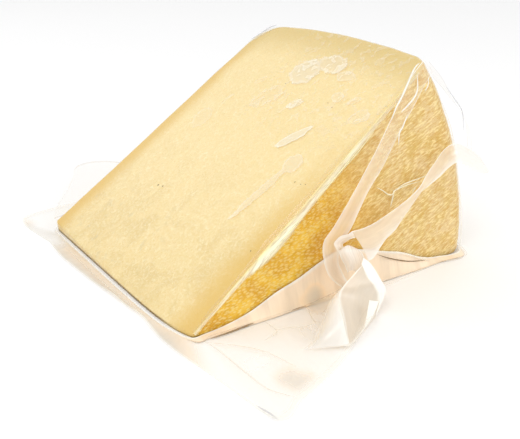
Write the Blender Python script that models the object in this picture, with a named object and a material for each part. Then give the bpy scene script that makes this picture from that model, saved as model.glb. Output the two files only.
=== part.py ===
"""A vacuum-packed wedge of hard cheese, cut as a sector from a whole wheel and lying on one cut face.

Metres, +Z up. The wedge's thin tip edge runs along Y at the left, its heel faces +X, the rind of the
wheel's flat faces closes it at -Y and +Y, and the origin is near the middle of its underside. Two solids:
the cheese, and what stands free of it of the clear bag. The bag's tight skin is too thin to be a solid.
"""

import math

import bmesh
import bpy
import numpy as np

# The wedge
WHEEL_RADIUS = 0.208  # tip edge to heel
WEDGE_ANGLE = math.radians(40.0)
HEIGHT_AT_TIP = 0.182  # wheel height, flat face to flat face, along the tip edge
HEIGHT_AT_HEEL = 0.177
FAR_BULGE = 0.0025  # how far the far flat face swells between tip and heel
NEAR_RIM_RADIUS = 0.011  # round corner between the near flat face and the heel
FAR_RIM_RADIUS = 0.024
HEEL_BULGE = 0.0062
TIP_ROUND = 0.0015
TIP_OVERHANG = 0.0069  # how far the tip edge curves out beyond the near corner
TIP_CURVE = 0.0159  # length along the tip edge over which it does so
TIP_SLANT = 0.052  # how far it then leans out further, for each metre along it
TIP_THICKNESS_NEAR = 0.0014
TIP_THICKNESS_FAR = 0.0060
CUT_EDGE_RADIUS = 0.0016
CUT_WAVE = 0.0006  # unevenness of the upper cut face
CUT_WAVE_LENGTH = 0.300
RIND_WAVE = 0.0009
RIND_WAVE_LENGTH = 0.160

# Grid of the wedge's faces
STEPS_ALONG_RADIUS = 20
STEPS_ALONG_HEEL = 12
STEPS_ROUND_RIM = 4
STEPS_OF_ANGLE = 13

# The bag
FILM = 0.0008  # drawn thicker than real film, so that it is a sound solid
FLOOR_GAP = 0.0003
FILM_GAP = 0.0017  # from the cheese to the middle of the film that leaves it
SKIRT_RUFFLE = 0.0012
SKIRT_RUFFLES = 19
SKIRT_STEPS = 132
SKIRT_ROWS = 5

# The origin, near the middle of the underside, from the corner where the tip edge meets the near flat face
ORIGIN = np.array([0.105, 0.092, 0.0])

# The bag's skirt round the foot of the wedge, in millimetres: place along the side of the foot, how high
# the film climbs the wedge, its crease (reach from the foot, height), its free edge (reach, drift, height)
SKIRT = {
    # A wide fold spreads in front of the tip, and the film climbs the rind to the gather
    "near": (
        (1, 2, (13, 1.6), (44, -7, 1.2)),
        (8, 3, (12, 2.0), (83, -6, 1.2)),
        (25, 5, (10, 1.6), (75, -1, 1.2)),
        (48, 11, (10, 1.6), (65, -2, 2.0)),
        (70, 18, (11, 2.5), (55, -3, 3.0)),
        (87, 26, (14, 8.0), (45, 1, 9.0)),
        (102, 29, (13, 12.0), (24, 7, 12.0)),
        (127, 21, (8, 5.0), (12, 3, 1.6)),
        (152, 12, (5, 3.0), (9, 3, 1.2)),
        (180, 5, (4, 2.0), (7, 3, 1.2)),
        (203, 3, (3, 1.2), (5, 2, 1.2)),
    ),
    "heel": (
        (25, 3, (3, 1.2), (6, 0, 1.2)),
        (88, 3, (3, 1.2), (7, 0, 1.2)),
        (135, 3, (3, 1.2), (8, 0, 1.2)),
        (162, 3, (3, 1.2), (9, 6, 1.2)),
    ),
    # Placed from the heel's end to the tip
    "far": (
        (10, 4, (5, 1.2), (14, -8, 1.2)),
        (52, 6, (8, 2.0), (30, -3, 1.2)),
        (110, 12, (8, 3.0), (43, -3, 1.2)),
        (160, 7, (8, 2.0), (50, 0, 1.2)),
        (196, 3, (7, 1.2), (52, 2, 1.2)),
        (225.5, 3, (5, 1.2), (48, 11, 1.2)),
    ),
    "tip": (
        (1, 3, (4, 1.2), (17, -28, 1.2)),
        (12, 3, (4, 1.2), (15, -6, 1.2)),
        (42, 3, (4, 1.2), (13, 0, 1.2)),
        (80, 3, (4, 1.2), (12, -4, 1.2)),
        (120, 3, (4, 1.2), (9, -1, 1.2)),
        (158, 3, (4, 1.2), (9, 1, 1.2)),
        (181, 2, (4, 1.2), (9, 12, 1.2)),
    ),
}

# Folds of film, each a strip between its two edges, in millimetres from the same corner
CORNER_RIBBON = (
    ((152, -3, 135), (140, -7, 128), (131, -8, 115), (122, -9, 101), (112, -9, 84), (102, -9, 66),
     (90, -10, 48), (80, -10, 37), (80, -11, 24), (88, -12, 11), (98, -14, 7)),
    ((160, -3, 127), (150, -6, 119), (142, -8, 108), (134, -8, 95), (124, -9, 79), (114, -10, 62),
     (104, -12, 48), (96, -13, 39), (93, -14, 32), (96, -15, 24), (103, -16, 20)),
)
HEEL_RIBBON = (
    ((90, -17, 43), (100, -17, 46), (113, -15, 44), (128, -13, 49), (142, -13, 56), (153, -10, 62),
     (162, -9, 73), (170, -9, 81), (180, -9, 83), (191, -9, 78), (204, -8, 70), (213, -6, 61)),
    ((97, -19, 30), (106, -18, 27), (118, -16, 30), (131, -14, 38), (144, -11, 51), (151, -14, 60),
     (161, -14, 64), (171, -13, 70), (178, -13, 72), (188, -11, 67), (202, -9, 60), (212, -8, 57)),
)
TAIL = (
    ((86, -17, 41), (84, -22, 30), (80, -28, 17), (72, -33, 7), (60, -36, 2.2)),
    ((94, -21, 33), (92, -29, 24), (87, -37, 14), (79, -43, 6), (68, -46, 2.2)),
    ((105, -17, 30), (101, -29, 24), (94, -41, 15), (84, -48, 7), (72, -53, 2.2)),
)
BACK_FLAP = (
    ((-13, 197, 2), (8, 201, 3), (32, 203, 4), (58, 204, 4), (82, 203, 4)),
    ((-14, 202, 7), (6, 209, 15), (28, 212, 18), (54, 211, 17), (80, 208, 12)),
    ((-15, 206, 9), (12, 215, 29), (34, 218, 33), (58, 216, 27), (84, 211, 16)),
)
HEEL_GUSSET = (
    ((151, -3, 130), (161, -2, 127), (174, 2, 114), (184, 2, 100), (192, -2, 86), (190, -9, 75)),
    ((155, -4, 134), (169, -3, 122), (183, 1, 108), (193, 1, 97), (197, -4, 86), (194, -9, 76)),
)


def curve_through(points, count, closed=False):
    """count points along a smooth (Catmull-Rom) curve through the given ones."""
    points = np.asarray(points, float)
    spans = len(points) if closed else len(points) - 1
    places = np.linspace(0.0, spans, count, endpoint=not closed)
    found = []
    for place in places:
        start = min(int(place), spans - 1)
        t = place - start
        at = [start - 1, start, start + 1, start + 2]
        if closed:
            before, a, b, after = (points[i % len(points)] for i in at)
        else:
            a, b = points[start], points[start + 1]
            before = points[start - 1] if start > 0 else 2 * a - b
            after = points[start + 2] if start + 2 < len(points) else 2 * b - a
        found.append(
            0.5 * (2 * a + (b - before) * t + (2 * before - 5 * a + 4 * b - after) * t**2
                   + (3 * a - before - 3 * b + after) * t**3)
        )
    return np.array(found)


def material(name, colour, roughness, alpha=1.0):
    made = bpy.data.materials.new(name)
    made.use_nodes = True
    shader = made.node_tree.nodes["Principled BSDF"]
    shader.inputs["Base Color"].default_value = (*colour, 1.0)
    shader.inputs["Roughness"].default_value = roughness
    shader.inputs["Metallic"].default_value = 0.0
    shader.inputs["Alpha"].default_value = alpha
    return made


def new_object(name, points, faces, finish):
    """An object from points in metres measured from the near corner, placed about the shared origin."""
    mesh = bpy.data.meshes.new(name)
    mesh.from_pydata([tuple(p - ORIGIN) for p in points], [], faces)
    mesh.materials.append(finish)
    made = bpy.data.objects.new(name, mesh)
    bpy.context.scene.collection.objects.link(made)
    return made


def outward(obj):
    shape = bmesh.new()
    shape.from_mesh(obj.data)
    bmesh.ops.recalc_face_normals(shape, faces=shape.faces)
    shape.to_mesh(obj.data)
    shape.free()


def apply_modifiers(obj):
    graph = bpy.context.evaluated_depsgraph_get()
    graph.update()
    mesh = bpy.data.meshes.new_from_object(obj.evaluated_get(graph))
    obj.modifiers.clear()
    obj.data = mesh


def rim_levels(radius):
    """(share of the wheel's height, how far the rim is set back) at each level round a rim."""
    return [
        (radius * (1 - math.cos(a)) / HEIGHT_AT_HEEL, radius * (1 - math.sin(a)))
        for a in np.linspace(0.0, math.pi / 2, STEPS_ROUND_RIM + 1)
    ]


def heel_levels():
    """The same at each level up the heel, from the near flat face to the far one."""
    near = rim_levels(NEAR_RIM_RADIUS)
    far = [(1 - share, back) for share, back in reversed(rim_levels(FAR_RIM_RADIUS))]
    straight = np.linspace(near[-1][0], far[0][0], STEPS_ALONG_HEEL + 1)[1:-1]
    return near + [(share, 0.0) for share in straight] + far


def heel_radius(share):
    return WHEEL_RADIUS + HEEL_BULGE * (1 - (2 * share - 1) ** 2)


def wheel_height(u):
    """Height of the wheel from the tip edge, u = 0, to the heel, u = 1."""
    return HEIGHT_AT_TIP + (HEIGHT_AT_HEEL - HEIGHT_AT_TIP) * u + FAR_BULGE * 4 * u * (1 - u)


def tip_lean(along):
    return TIP_OVERHANG * (1 - math.exp(-along / TIP_CURVE)) + TIP_SLANT * along


def wedge_point(u, share, set_back, turn):
    """A point of the wedge, turn from 0 on the lower cut face to 1 on the upper one."""
    radius = TIP_ROUND + (heel_radius(share) - set_back - TIP_ROUND) * u
    along = wheel_height(u) * share
    tip_rise = (TIP_THICKNESS_NEAR + (TIP_THICKNESS_FAR - TIP_THICKNESS_NEAR) * share**2) * (1 - u) ** 2
    angle = WEDGE_ANGLE * turn
    x = radius * math.cos(angle) - tip_lean(along) * (1 - u)
    z = radius * math.sin(angle) + tip_rise * turn
    # Gentle waves, none on the lower cut face, which stays flat
    pace = 2 * math.pi / CUT_WAVE_LENGTH
    crossing = math.sin(pace * (1.5 * x + 0.9 * along) + 0.7) * math.sin(pace * (1.1 * along - 0.8 * x))
    z += CUT_WAVE * turn * crossing
    pace = 2 * math.pi / RIND_WAVE_LENGTH
    rind = RIND_WAVE * turn * u * math.sin(pace * x + 5) * math.sin(0.9 * pace * z)
    along += rind * (1 if share > 0.5 else -1) * abs(2 * share - 1)
    return np.array([x, along, z])


def make_cheese(finish):
    levels = heel_levels()
    across = np.linspace(0.0, 1.0, STEPS_ALONG_RADIUS + 1)
    points, index = [], {}

    def add(i, j, k):
        if (i, j, k) not in index:
            index[i, j, k] = len(points)
            points.append(wedge_point(across[i], *levels[j], k / STEPS_OF_ANGLE))
        return index[i, j, k]

    last_i, last_j = STEPS_ALONG_RADIUS, len(levels) - 1
    faces = []
    for k in (0, STEPS_OF_ANGLE):
        for i in range(last_i):
            for j in range(last_j):
                faces.append([add(i, j, k), add(i + 1, j, k), add(i + 1, j + 1, k), add(i, j + 1, k)])
    rim = [(i, 0) for i in range(last_i)] + [(last_i, j) for j in range(last_j)]
    rim += [(i, last_j) for i in range(last_i, 0, -1)] + [(0, j) for j in range(last_j, 0, -1)]
    for k in range(STEPS_OF_ANGLE):
        for a, b in zip(rim, rim[1:] + rim[:1]):
            faces.append([add(*a, k), add(*b, k), add(*b, k + 1), add(*a, k + 1)])
    cheese = new_object("cheese_wedge", points, faces, finish)
    outward(cheese)
    flatten_underside(cheese)
    soften = cheese.modifiers.new("cut edges", "BEVEL")
    soften.width = CUT_EDGE_RADIUS
    soften.segments = 2
    soften.limit_method = "ANGLE"
    soften.angle_limit = math.radians(50)
    cheese.data.shade_smooth()
    return cheese


def flatten_underside(obj):
    """Makes the grid of the lower cut face one flat face, so that the wedge rests on a plane."""
    shape = bmesh.new()
    shape.from_mesh(obj.data)
    below = [v for v in shape.verts if abs(v.co.z) < 1e-6]
    for vert in below:
        vert.co.z = 0.0
    inner = [e for e in shape.edges if all(abs(f.normal.z + 1) < 1e-4 for f in e.link_faces)]
    bmesh.ops.dissolve_edges(shape, edges=inner, use_verts=True)
    shape.to_mesh(obj.data)
    shape.free()


def grid_faces(rows, columns, closed):
    faces = []
    for r in range(rows - 1):
        for c in range(columns if closed else columns - 1):
            d = (c + 1) % columns
            faces.append([r * columns + c, r * columns + d, (r + 1) * columns + d, (r + 1) * columns + c])
    return faces


def foot(side, place):
    """A point of the foot of the wedge, the way out from it and the way on along that side, in metres."""
    if side == "near":
        return np.array([place, 0.0]), np.array([0.0, -1.0]), np.array([1.0, 0.0])
    if side == "heel":
        radius = heel_radius(place / HEIGHT_AT_HEEL)
        return np.array([radius, place]), np.array([1.0, 0.0]), np.array([0.0, 1.0])
    if side == "far":
        u = 1 - place / WHEEL_RADIUS
        return np.array([WHEEL_RADIUS * u, wheel_height(u)]), np.array([0.0, 1.0]), np.array([-1.0, 0.0])
    along = HEIGHT_AT_TIP - place
    return np.array([-tip_lean(along), along]), np.array([-1.0, 0.0]), np.array([0.0, -1.0])


def skirt_guides():
    """The skirt's inner edge against the wedge, its crease and its free edge, each a closed curve."""
    guides = [[], [], []]
    for side, stations in SKIRT.items():
        for place, climb, (crease_reach, crease_height), (reach, drift, height) in stations:
            at, out, on = foot(side, place / 1000)
            ends = ((FILM_GAP * 1000, 0, climb), (crease_reach, 0, crease_height), (reach, drift, height))
            for guide, (away, along, up) in zip(guides, ends):
                plan = at * 1000 + out * away + on * along
                guide.append((*plan, up))
    return guides


def film_sheet(name, guides, rows, columns, finish, closed=False, ruffle=0.0):
    """A thin solid sheet lofted over guide curves in millimetres, its first one against the cheese."""
    curves = np.array([curve_through(guide, columns, closed) for guide in guides]) / 1000
    sheet = np.array([curve_through(curves[:, c], rows) for c in range(columns)]).swapaxes(0, 1)
    for r in range(rows):
        free = r / (rows - 1)
        for c in range(columns):
            turn = 2 * math.pi * c / columns
            wave = math.sin(SKIRT_RUFFLES * turn) * math.cos(SKIRT_RUFFLES * turn / 3)
            sheet[r, c, 2] += ruffle * free * (1 + wave)
    lowest = FLOOR_GAP + FILM
    sheet[:, :, 2] = np.maximum(sheet[:, :, 2], lowest)
    made = new_object(name, sheet.reshape(-1, 3), grid_faces(rows, columns, closed), finish)
    outward(made)
    wall = made.modifiers.new("film", "SOLIDIFY")
    wall.thickness = FILM
    wall.offset = 0.0
    return made


def make_bag(finish):
    skirt = film_sheet("clear_bag", skirt_guides(), SKIRT_ROWS, SKIRT_STEPS, finish,
                       closed=True, ruffle=SKIRT_RUFFLE)
    folds = bpy.data.collections.new("folds")
    bpy.context.scene.collection.children.link(folds)
    shapes = (
        ("corner_ribbon", CORNER_RIBBON, 3, 27),
        ("heel_ribbon", HEEL_RIBBON, 3, 29),
        ("tail", TAIL, 5, 13),
        ("back_flap", BACK_FLAP, 5, 13),
        ("heel_gusset", HEEL_GUSSET, 3, 15),
    )
    for name, guides, rows, columns in shapes:
        fold = film_sheet(name, guides, rows, columns, finish)
        bpy.context.scene.collection.objects.unlink(fold)
        folds.objects.link(fold)
    join = skirt.modifiers.new("folds", "BOOLEAN")
    join.operation = "UNION"
    join.operand_type = "COLLECTION"
    join.collection = folds
    join.solver = "MANIFOLD"
    apply_modifiers(skirt)
    for fold in list(folds.objects):
        bpy.data.objects.remove(fold)
    bpy.data.collections.remove(folds)
    return skirt


def main():
    for obj in list(bpy.data.objects):
        bpy.data.objects.remove(obj)
    make_cheese(material("hard_cheese", (0.93, 0.76, 0.42), 0.45))
    make_bag(material("clear_film", (0.92, 0.90, 0.86), 0.15, alpha=0.35))


main()
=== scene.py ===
"""A vacuum-packed wedge of hard cheese: its paste, its golden rind, the bag's tight skin and its loose folds.

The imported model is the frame. The script works in metres. Places on the object are listed in millimetres from
the wedge's near corner, where the tip edge meets the near rind: +X runs along the foot of that rind to the
heel, +Y along the tip edge, +Z up. Places on the upper cut face are listed as (radius from the tip, along).
"""

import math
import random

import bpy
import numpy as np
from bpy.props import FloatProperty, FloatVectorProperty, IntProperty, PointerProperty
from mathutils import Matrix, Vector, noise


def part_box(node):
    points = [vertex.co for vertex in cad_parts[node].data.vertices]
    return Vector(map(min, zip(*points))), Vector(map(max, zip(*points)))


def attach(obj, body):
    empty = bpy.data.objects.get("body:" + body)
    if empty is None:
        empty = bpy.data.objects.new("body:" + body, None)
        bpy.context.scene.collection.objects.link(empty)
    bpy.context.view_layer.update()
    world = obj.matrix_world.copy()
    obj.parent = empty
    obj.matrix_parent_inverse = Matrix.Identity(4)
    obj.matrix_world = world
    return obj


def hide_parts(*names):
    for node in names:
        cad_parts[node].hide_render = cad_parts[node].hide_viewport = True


bl_info = {
    "name": "Vacuum-packed cheese wedge",
    "version": (1, 0, 0),
    "blender": (4, 5, 0),
    "location": "View3D > Sidebar > Cheese",
    "description": "Builds a wedge of hard cheese in its clear bag, piece by piece",
    "category": "Object",
}

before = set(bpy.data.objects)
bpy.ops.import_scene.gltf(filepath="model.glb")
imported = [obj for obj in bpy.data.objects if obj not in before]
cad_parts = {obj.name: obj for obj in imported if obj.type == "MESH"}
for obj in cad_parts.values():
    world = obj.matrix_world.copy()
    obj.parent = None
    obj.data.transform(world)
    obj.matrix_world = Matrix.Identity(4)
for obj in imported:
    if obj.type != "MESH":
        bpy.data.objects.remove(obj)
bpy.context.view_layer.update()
WEDGE_LOW, WEDGE_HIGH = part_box("cheese_wedge")

NEAR_CORNER = np.array([-0.105, -0.092, 0.0])
HEEL_BULGE = 0.0062
MM = 0.001

# Steps of a wedge's grid: tip to heel, rind to rind, cut face to cut face, and over each round rim
CHEESE_GRID = (118, 104, 84, 7)
SKIN_GRID = (196, 176, 56, 8)
SHARP = math.radians(35)
# The way in which the tight film is drawn over the cut face
PULL = math.radians(-32)
CAMERA_PLACE = (-0.24855, -0.38873, 0.20824)


def srgb(red, green, blue):
    """A colour as a picture shows it, 0 to 255, in the linear values that shaders take."""
    shown = (c / 255 for c in (red, green, blue))
    return tuple(((c + 0.055) / 1.055) ** 2.4 if c > 0.04 else c / 12.92 for c in shown)


# Settings


def length(name, description, default):
    return FloatProperty(name=name, description=description, default=default, unit="LENGTH", precision=4)


def colour(name, description, default):
    return FloatVectorProperty(
        name=name, description=description, default=default, subtype="COLOR", size=3, min=0.0, max=1.0
    )


def angle(name, description, degrees):
    return FloatProperty(name=name, description=description, default=math.radians(degrees), subtype="ANGLE")


def watts(name, description, default):
    return FloatProperty(name=name, description=description, default=default, min=0.0, subtype="POWER")


class WedgeSettings(bpy.types.PropertyGroup):
    """Sizes and colours of the cheese."""

    wheel_radius: length("Wheel radius", "Tip edge to heel", WEDGE_HIGH.x - NEAR_CORNER[0] - HEEL_BULGE)
    angle: angle("Wedge angle", "Between the two cut faces", 40)
    height_at_tip: length("Height at the tip", "Rind to rind along the tip edge", 0.182)
    height_at_heel: length("Height at the heel", "Rind to rind along the heel", 0.177)
    far_bulge: length("Far bulge", "How far the far rind swells between tip and heel", 0.0025)
    near_rim: length("Near rim radius", "Round corner between near rind and heel", 0.011)
    far_rim: length("Far rim radius", "Round corner between far rind and heel", 0.024)
    tip_round: length("Tip rounding", "Radius where the cut faces meet", 0.0015)
    tip_overhang: length("Tip overhang", "How far the tip edge curves out", 0.0069)
    tip_curve: length("Tip curve", "Length over which the tip edge curves out", 0.0159)
    tip_slant: FloatProperty(
        name="Tip slant", description="Lean of the tip edge beyond its curve", default=0.052
    )
    tip_near: length("Tip thickness, near", "Thickness of the tip edge at the near corner", 0.0008)
    tip_far: length("Tip thickness, far", "Thickness of the tip edge at the far corner", 0.0060)
    face_wave: length("Cut face wave", "Height of the cut face's gentle waves", 0.0005)
    grain: length("Paste grain", "Height of the paste's fine grain", 0.00008)
    rind_relief: length("Rind relief", "Depth of the marks that the mould's cloth leaves", 0.00035)
    paste: colour("Paste", "Middle of the cut face", srgb(244, 221, 163))
    paste_ochre: colour("Ochre paste", "Cloudy patches towards the tip", srgb(228, 203, 142))
    paste_deep: colour("Deep paste", "Cut face near the flat rinds", srgb(226, 188, 100))
    paste_olive: colour("Olive paste", "Cut face near the heel", srgb(220, 194, 128))
    rind_gold: colour("Gold rind", "Deepest colour of the rind", srgb(240, 182, 24))
    rind_light: colour("Light gold rind", "Paler patches of the gold rind", srgb(246, 200, 60))
    rind_tan: colour("Tan rind", "Rind towards the heel", srgb(220, 184, 104))
    # Rind marks: partly their own pale colour, partly a painted highlight on the film pressed over them
    rind_dash: colour("Rind marks", "Raised marks on the rind", srgb(255, 230, 150))
    # foot_shade is painted shade, not damp: the dark line of shadow where the wedge stands and under its tip
    # edge
    foot_shade: colour("Foot of the wedge", "Damp, dark line where the wedge stands", srgb(128, 98, 20))


class FilmSettings(bpy.types.PropertyGroup):
    """Sizes and colours of the clear bag."""

    skin_gap: length("Skin gap", "From the cheese to its tight skin", 0.0005)
    floor_gap: length("Floor gap", "From the floor to the lowest film", 0.0005)
    wrinkle: length("Wrinkle", "Height of the loose film's pleats", 0.0010)
    white: colour("White film", "Film that shows milky white", srgb(255, 252, 246))
    beige: colour("Warm film", "Film lit through the cheese", srgb(243, 221, 194))
    grey: colour("Shaded film", "Film turned from the light", srgb(206, 200, 186))
    bright: colour("Film edge", "Cut edges and sharp creases", srgb(255, 253, 244))
    # The gleam is partly the white of film bunched along the near cut edge and partly a painted highlight on it
    gleam: colour("Gleam", "Bunched film along the near cut edge", srgb(255, 250, 206))
    crystals: IntProperty(name="Crystals", description="Pale grains in the cut face", default=300, min=0)


class StageSettings(bpy.types.PropertyGroup):
    """The floor, the lights and the camera."""

    floor: colour("Floor", "Plain pale floor", (0.96, 0.96, 0.96))
    key: watts("Key light", "Soft light from the upper left", 4.5)
    fill: watts("Fill light", "Soft light from the right", 3.0)
    glint: watts("Glint light", "Light from behind that the film's wrinkles mirror", 1.2)
    sky: FloatProperty(name="Sky", description="Strength of the even light all round", default=0.92, min=0.0)
    azimuth: angle("Azimuth", "Of the camera", -32.3)
    elevation: angle("Elevation", "Of the camera", 22.9)
    lens: FloatProperty(name="Lens", description="Focal length in millimetres", default=49.2, min=1.0)


# Shader maths


class Value:
    """A socket of a material's tree. An operator on it adds the Math node that works it out."""

    def __init__(self, tree, socket):
        self.tree = tree
        self.socket = socket

    def maths(self, operation, *others, clamp=False):
        settings = {"operation": operation, "use_clamp": clamp}
        return self.tree.node("ShaderNodeMath", settings, dict(enumerate((self, *others)))).out()

    def __add__(self, other):
        return self.maths("ADD", other)

    def __mul__(self, other):
        return self.maths("MULTIPLY", other)

    def __sub__(self, other):
        return self.maths("SUBTRACT", other)

    def __rsub__(self, other):
        return self.maths("MULTIPLY_ADD", -1.0, other)

    def __pow__(self, other):
        return self.maths("POWER", other)

    __radd__ = __add__
    __rmul__ = __mul__

    def limited(self):
        return self.maths("ADD", 0.0, clamp=True)

    def most(self, other):
        return self.maths("MAXIMUM", other)

    def step(self, start, end):
        """0 at start and 1 at end, with a smooth way between."""
        settings = {"interpolation_type": "SMOOTHSTEP"}
        return self.tree.node("ShaderNodeMapRange", settings, {0: self, 1: start, 2: end}).out()


class Made:
    """A node that was added to a tree."""

    def __init__(self, tree, node):
        self.tree = tree
        self.node = node

    def out(self, name=0):
        return Value(self.tree, self.node.outputs[name])


class Finish:
    """A material and its node tree."""

    def __init__(self, name):
        self.material = bpy.data.materials.new(name)
        self.material.use_nodes = True
        self.nodes = self.material.node_tree.nodes
        self.links = self.material.node_tree.links
        self.nodes.clear()

    def node(self, kind, settings=None, values=None):
        made = self.nodes.new(kind)
        for name, value in (settings or {}).items():
            setattr(made, name, value)
        for name, value in (values or {}).items():
            if isinstance(value, Value):
                self.links.new(value.socket, made.inputs[name])
            elif made.inputs[name].type == "RGBA":
                made.inputs[name].default_value = (*value[:3], 1.0)
            else:
                made.inputs[name].default_value = value
        return Made(self, made)

    def where(self):
        return self.node("ShaderNodeTexCoord").out("Object")

    def place(self, scale=(1, 1, 1), turn=(0, 0, 0)):
        """Object coordinates, turned and then stretched."""
        turned = self.node("ShaderNodeMapping", {}, {"Vector": self.where(), "Rotation": turn}).out()
        return self.node("ShaderNodeMapping", {}, {"Vector": turned, "Scale": scale}).out()

    def attribute(self, name):
        return self.node("ShaderNodeAttribute", {"attribute_name": name}).out("Fac")

    def clouds(self, size, detail=3.0, roughness=0.55, vector=None, distortion=0.0):
        """Soft noise from 0 to 1 whose patches are about size metres across."""
        values = {"Scale": 1.0 / size, "Detail": detail, "Roughness": roughness, "Distortion": distortion}
        values["Vector"] = vector or self.where()
        return self.node("ShaderNodeTexNoise", {}, values).out("Fac")

    def cells(self, vector, feature="F1", randomness=1.0):
        values = {"Vector": vector, "Scale": 1.0, "Randomness": randomness}
        return self.node("ShaderNodeTexVoronoi", {"feature": feature}, values).out("Distance")

    def mix(self, amount, first, second):
        """The first colour where amount is 0 and the second where it is 1."""
        return self.node("ShaderNodeMix", {"data_type": "RGBA"}, {0: amount, 6: first, 7: second}).out(2)

    def bump(self, height, depth, strength=1.0, under=None):
        values = {"Height": height, "Distance": depth, "Strength": strength}
        if under:
            values["Normal"] = under
        return self.node("ShaderNodeBump", {}, values).out()

    def film(self, gloss, normal=None, mirror=0.06):
        """Thin clear film, whose two faces mirror more the flatter they are seen."""
        bent = {"Normal": normal} if normal else {}
        facing = self.node("ShaderNodeLayerWeight", {}, {"Blend": 0.5, **bent}).out("Facing")
        clear = self.node("ShaderNodeBsdfTransparent", {}, {"Color": (0.995, 0.993, 0.985)}).out()
        shine = self.node("ShaderNodeBsdfGlossy", {}, {"Roughness": gloss, "Color": (1, 1, 1), **bent}).out()
        mirrored = facing**5 * 0.50 + mirror
        return self.node("ShaderNodeMixShader", {}, {0: mirrored.limited(), 1: clear, 2: shine}).out()

    def solid(self, tone, roughness, normal=None):
        """An opaque surface of one tone."""
        bent = {"Normal": normal} if normal else {}
        values = {"Base Color": tone, "Roughness": roughness, **bent}
        return self.node("ShaderNodeBsdfPrincipled", {}, values).out()

    def milky(self, amount, clear, milk):
        """The material whose clear film turns to milk as amount goes from 0 to 1."""
        values = {0: amount.limited(), 1: clear, 2: milk}
        return self.surface(self.node("ShaderNodeMixShader", {}, values).out())

    def surface(self, shader):
        self.node("ShaderNodeOutputMaterial", {}, {"Surface": shader})
        return self.material


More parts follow.
